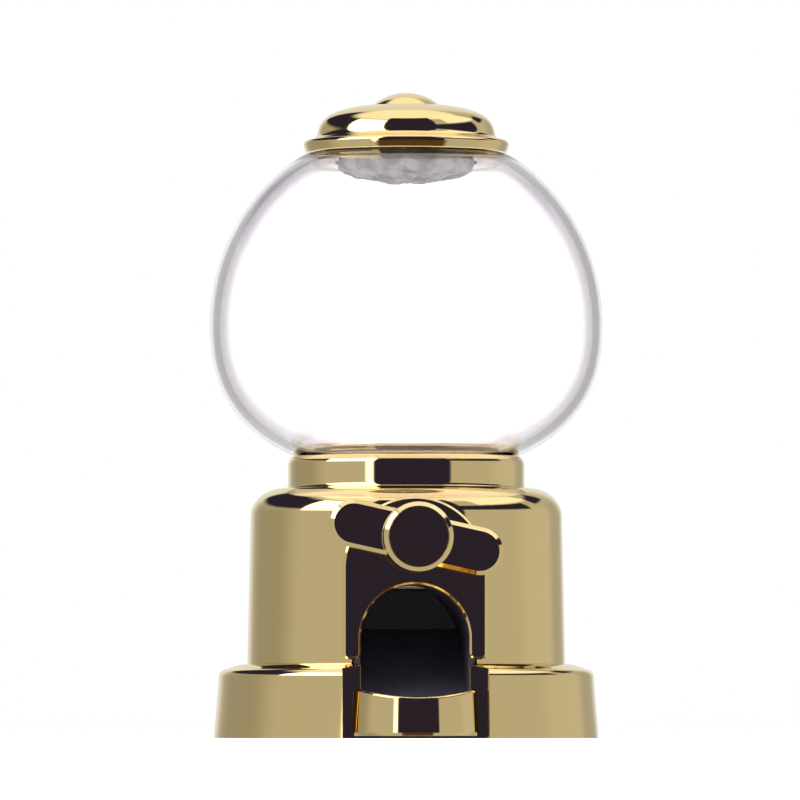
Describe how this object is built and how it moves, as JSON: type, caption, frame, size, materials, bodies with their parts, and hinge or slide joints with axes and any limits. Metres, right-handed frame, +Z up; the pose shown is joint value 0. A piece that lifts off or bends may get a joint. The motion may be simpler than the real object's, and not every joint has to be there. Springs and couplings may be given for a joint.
{
  "type": "gumball machine",
  "caption": "Hand-turned sweet dispenser: clear globe with a lift-off domed lid, collar, round housing with an arched front plate, wing knob, chute, tray and flared plinth.",
  "frame": {"origin": "on the machine's axis, at the table, on the underside of the bottom cover", "axes": "+Z up through the lid, -Y towards the tray and knob, +X to the right as seen from the front"},
  "size_m": [0.0628, 0.0682, 0.1033],
  "materials": {
    "gold_plating": "vacuum-metallised mirror gold on moulded plastic",
    "clear_plastic": "clear polished moulded plastic",
    "black_plastic": "glossy black moulded plastic",
    "white_plastic": "satin white moulded plastic",
    "grey_plug": "rough grey soft plastic",
    "nylon": "natural moulded nylon",
    "zinc_steel": "bright zinc-plated steel"
  },
  "bodies": {
    "machine": {"plinth": "gold_plating", "tray": "gold_plating", "housing": "gold_plating", "front_plate": "gold_plating", "collar": "gold_plating", "globe": "clear_plastic", "bottom_cover": "black_plastic", "chute": "black_plastic", "collar_nut": "black_plastic", "cradle": "white_plastic", "hopper": "white_plastic", "front_bushing": "nylon", "rear_bushing": "nylon", "thrust_washer": "nylon", "base_screw_1": "zinc_steel", "housing_screw_1": "zinc_steel", "base_screw_2": "zinc_steel", "housing_screw_2": "zinc_steel", "base_screw_3": "zinc_steel", "housing_screw_3": "zinc_steel", "base_screw_4": "zinc_steel", "housing_screw_4": "zinc_steel", "chute_screw_1": "zinc_steel", "plate_screw_1": "zinc_steel", "chute_screw_2": "zinc_steel", "plate_screw_2": "zinc_steel"},
    "lid": {"lid": "gold_plating", "lid_button": "gold_plating", "lid_plug": "grey_plug"},
    "knob": {"knob": "gold_plating", "knob_cap": "gold_plating", "knob_screw": "zinc_steel", "drive_shaft": "zinc_steel", "metering_drum": "white_plastic", "shaft_clip": "zinc_steel"}
  },
  "joints": [
    {"name": "knob_turn", "type": "hinge", "parent": "machine", "child": "knob", "pos_m": [0, 0, 0.0315], "axis": [0, 1, 0], "continuous": true},
    {"name": "lid_lift", "type": "slide", "parent": "machine", "child": "lid", "axis": [0, 0, 1], "range_m": [0, 0.03]}
  ]
}
